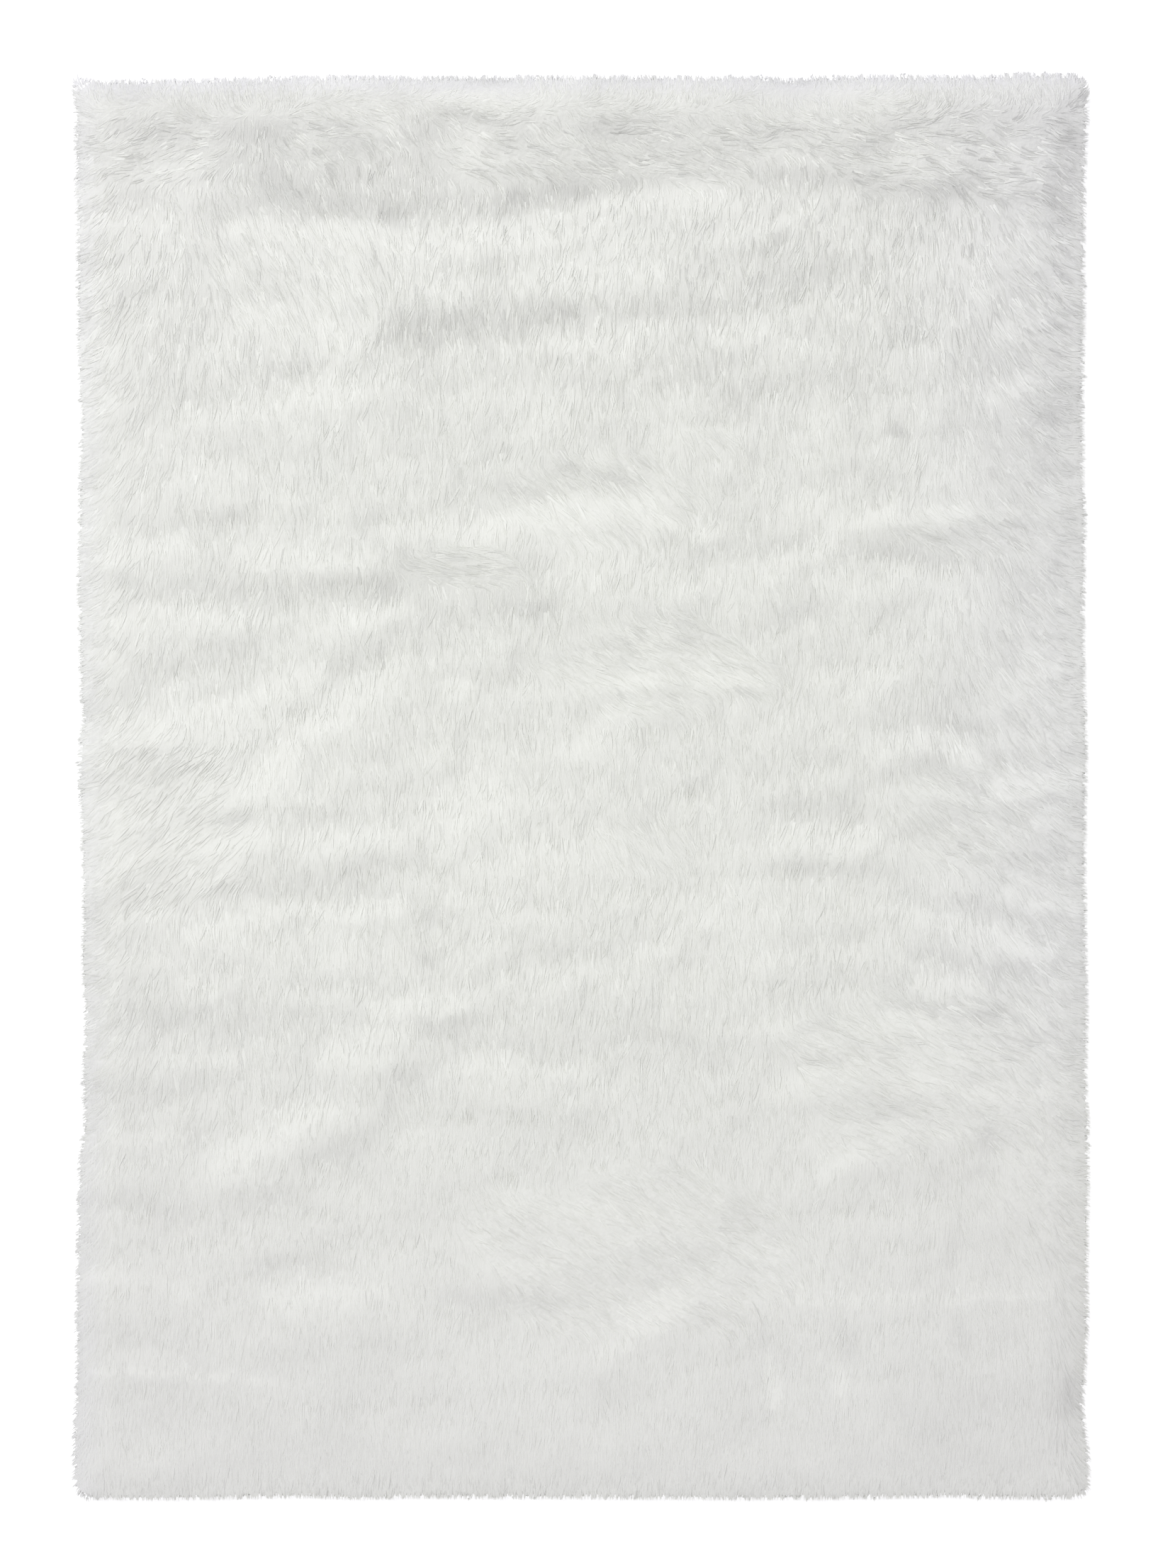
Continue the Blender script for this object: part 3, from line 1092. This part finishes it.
def strand_material():
    """White fibre: a little deeper at the root, with fine hairs along each strand."""
    nodes = Nodes("strand_fibre")
    local = nodes.add("ShaderNodeUVMap", {"uv_map": "strand"}).outputs[0]
    along = nodes.add("ShaderNodeSeparateXYZ", i0=local).outputs[1]
    hairs = nodes.lines(local, stretch=(4.0, 1.3, 1.0), detail=2.0)
    colour = nodes.mix(nodes.attribute("tone"), FIBRE_DULL, FIBRE_BRIGHT)
    at_root = nodes.ramp(nodes.math("POWER", along, 0.6), low=0.12, high=0.0)
    colour = nodes.mix(at_root, colour, ROOT_SHADE)
    colour = nodes.mix(nodes.ramp(hairs, low=0.05, high=-0.02), colour, STREAK_SHADE)
    return nodes.finish(
        Base_Color=nodes.cooled(colour),
        Roughness=nodes.ramp(hairs, low=0.42, high=0.62),
        Sheen_Weight=0.25,
        Sheen_Roughness=0.4,
        Specular_IOR_Level=0.35,
        Normal=nodes.bump(hairs, strength=0.35, distance=0.4 * MM),
    )


def under_pile_material():
    """Dense short fibre, seen only as the shade between the strands."""
    nodes = Nodes("under_fibre")
    place = nodes.object_place()
    lines = nodes.lines(place, stretch=(420.0, 60.0, 200.0), detail=3.0)
    felt = nodes.noise(place, scale=150.0, detail=2.0)
    aside = nodes.attribute("combed_aside")
    lines = nodes.math("MULTIPLY", lines, nodes.math("SUBTRACT", 1.0, aside))
    hairs = nodes.math("ADD", lines, nodes.math("MULTIPLY", felt, aside))
    return nodes.finish(
        Base_Color=nodes.cooled(nodes.mix(hairs, UNDER_DULL, UNDER_BRIGHT)),
        Roughness=0.85,
        Sheen_Weight=0.3,
        Normal=nodes.bump(hairs, strength=0.8, distance=1.5 * MM),
    )


def cloth_material():
    """The knitted ground cloth's back."""
    nodes = Nodes("ground_cloth")
    place = nodes.object_place()
    knit = nodes.math("MULTIPLY", nodes.ribs(place, "X", 160.0), nodes.ribs(place, "Y", 110.0))
    return nodes.finish(
        Base_Color=nodes.mix(knit, KNIT_DARK, KNIT_LIGHT),
        Roughness=0.9,
        Normal=nodes.bump(knit, strength=0.7, distance=0.6 * MM),
    )


def floor_material():
    return Nodes("studio_floor").finish(
        Base_Color=FLOOR_WHITE,
        Roughness=0.9,
        Emission_Color=(1, 1, 1, 1),
        Emission_Strength=0.45,
    )


# ---------------------------------------------------------------- pieces


def make_cloth(surface):
    def top_height(x, y):
        return np.full_like(x, CLOTH_THICKNESS)

    outline = surface.outline
    mesh = slab_mesh("ground_cloth", outline, CLOTH_INSET, CLOTH_PITCH, 0.0, top_height)
    cloth = new_piece("ground_cloth", mesh, cloth_material())


def make_under_pile(surface):
    bottom = CLOTH_THICKNESS + CLOTH_GAP
    outline = surface.outline

    def top_height(x, y):
        return np.maximum(surface.height(x, y) - UNDER_PILE_DEPTH, bottom + UNDER_PILE_LEAST)

    inset, pitch = UNDER_PILE_INSET, UNDER_PILE_PITCH
    mesh = slab_mesh("under_pile", outline, inset, pitch, bottom, top_height)
    mesh.shade_smooth()
    x, y, z = np.array([vertex.co for vertex in mesh.vertices]).T
    normals = surface.normal(x, y)
    out_x, out_y = surface.outward(x, y)
    wall = z <= bottom + UNDER_PILE_WALL
    normals[wall] = np.stack([out_x, out_y, np.zeros_like(z)], 1)[wall]
    mesh.normals_split_custom_set_from_vertices(normals.tolist())
    add_attribute(mesh, "combed_aside", "POINT", surface.aside(x, y))
    add_attribute(mesh, "cool", "POINT", coolness(outline, x, y))
    under_pile = new_piece("under_pile", mesh, under_pile_material())
    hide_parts(NODE)


# ---------------------------------------------------------------- studio and camera


FLOOR_HALF = 30.0
FLOOR_DROP = 0.5 * MM
KEY = {"shape": "DISK", "size": 8.8, "energy": 686, "color": (0.952, 0.966, 0.955)}
KEY_PLACE = (-6.3, 6.3, 8.06)
TOP = {"energy": 73, "color": (0.60, 1.0, 0.0), "spot_blend": 1.0, "shadow_soft_size": 0.6}
TOP_PLACE = (0.0, 0.15, 8.0)
TOP_RADIUS = 1.5  # where the top light has faded out, on the floor
WORLD_COLOUR = (0.933, 0.918, 0.971, 1)
WORLD_STRENGTH = 0.642


def make_floor():
    mesh = bpy.data.meshes.new("studio_floor")
    corners = [(x * FLOOR_HALF, y * FLOOR_HALF) for x, y in ((-1, -1), (1, -1), (1, 1), (-1, 1))]
    mesh.from_pydata([(x, y, -FLOOR_DROP) for x, y in corners], [], [(0, 1, 2, 3)])
    floor = put_object("studio_floor", mesh)
    mesh.materials.append(floor_material())


def make_light(name, kind, location, settings):
    data = bpy.data.lights.new(name, kind)
    for key, value in settings.items():
        setattr(data, key, value)
    return put_object(name, data, location)


def make_studio():
    """A large soft key light from the back left, a weak spot from above, and an even world."""
    make_floor()
    key = make_light("key", "AREA", KEY_PLACE, KEY)
    key.rotation_euler = (-Vector(KEY_PLACE)).to_track_quat("-Z", "Y").to_euler()
    top = make_light("top", "SPOT", TOP_PLACE, TOP)
    top.data.spot_size = 2 * math.atan(TOP_RADIUS / TOP_PLACE[2])
    world = bpy.data.worlds.new("studio")
    world.use_nodes = True
    background = world.node_tree.nodes["Background"]
    background.inputs["Color"].default_value = WORLD_COLOUR
    background.inputs["Strength"].default_value = WORLD_STRENGTH
    bpy.context.scene.world = world
    bpy.context.scene.view_settings.view_transform = "Standard"


def make_camera():
    data = bpy.data.cameras.new("camera")
    data.lens, data.sensor_width = LENS_MM, SENSOR_MM
    location = (*VIEW_CENTRE, VIEW_HEIGHT * LENS_MM / SENSOR_MM)
    bpy.context.scene.camera = put_object("camera", data, location)


def main():
    make_camera()
    surface = PileSurface(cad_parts[NODE])
    make_cloth(surface)
    make_under_pile(surface)
    make_pile(surface, strand_material())
    make_studio()


main()
